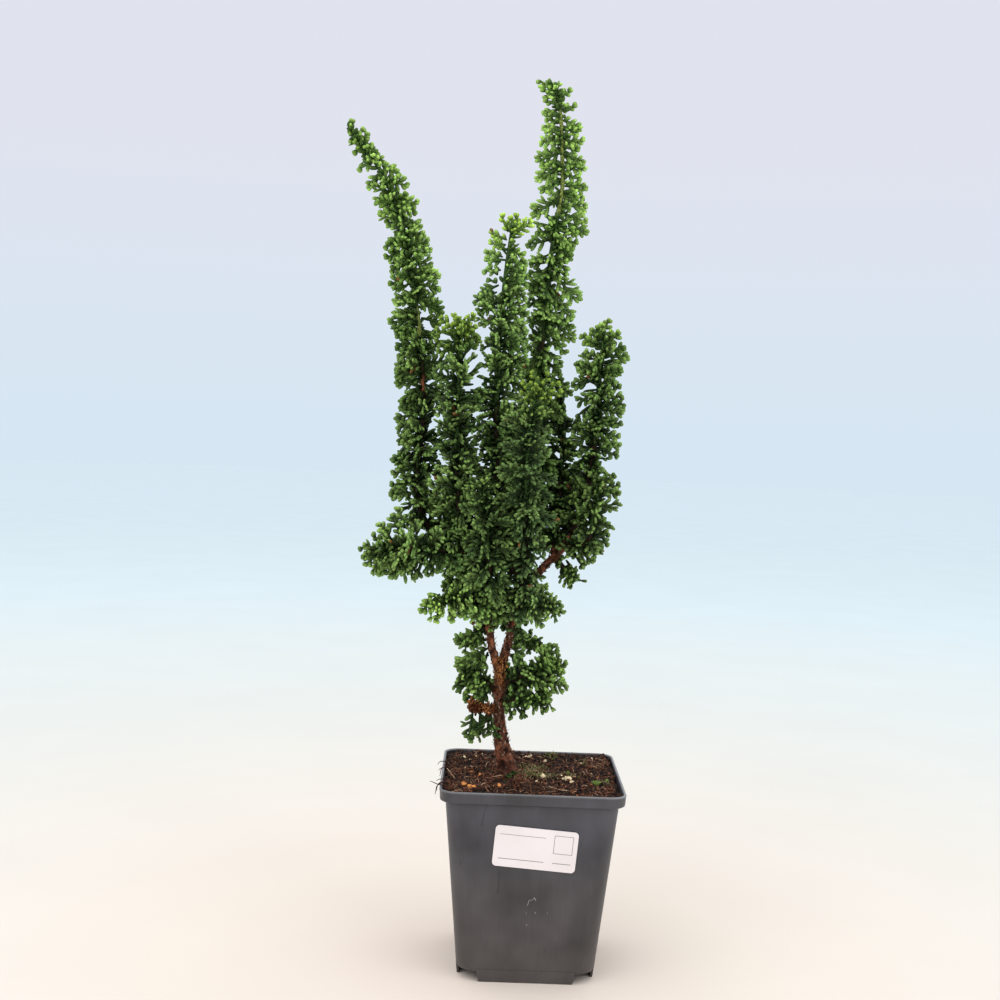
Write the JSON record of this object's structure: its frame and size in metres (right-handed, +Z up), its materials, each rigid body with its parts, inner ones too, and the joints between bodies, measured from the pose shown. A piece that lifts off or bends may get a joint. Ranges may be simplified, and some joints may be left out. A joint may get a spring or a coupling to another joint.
{
  "type": "potted hinoki cypress bonsai",
  "caption": "Upright conifer bonsai with forked trunk and column-like leafy sprays, growing in a square tapered plastic nursery pot with a blank label.",
  "frame": {"origin": "on the surface that the pot stands on, under the middle of the whole part's extent; the middle of the pot's foot lies at x = +0.0294 m, y = 0", "axes": "+Z up along the tree, -Y towards the front of the pot with the label, +X to the right seen from the front"},
  "size_m": [0.1488, 0.09, 0.4432],
  "materials": {
    "pot": "satin moulded plastic with fine scuffs",
    "soil": "damp peat with fibres and grit",
    "bark": "reddish-brown flaking bark",
    "foliage": "matt scale leaves",
    "dry_foliage": "dead dry scale leaves",
    "label": "white film label"
  },
  "bodies": {
    "root": {"pot": "pot", "soil": "soil", "label": "label", "trunk": "bark", "leader_left": "foliage", "leader_left_short": "foliage", "leader_centre": "foliage", "leader_tall": "foliage", "leader_front": "foliage", "leader_right": "foliage", "right_inner": "foliage", "right_outer": "foliage", "left_spread": "foliage", "middle_front": "foliage", "front_low_left": "foliage", "front_low_right": "foliage", "low_left": "foliage", "low_left_droop": "foliage", "low_right": "foliage", "low_right_under": "foliage", "under_left": "foliage", "under_right": "foliage", "right_low": "foliage", "back_left": "foliage", "back_centre": "foliage", "back_right": "foliage", "back_low": "foliage", "back_low_left": "foliage", "back_low_right": "foliage", "low_back": "foliage", "dry_tuft": "dry_foliage"}
  },
  "joints": []
}
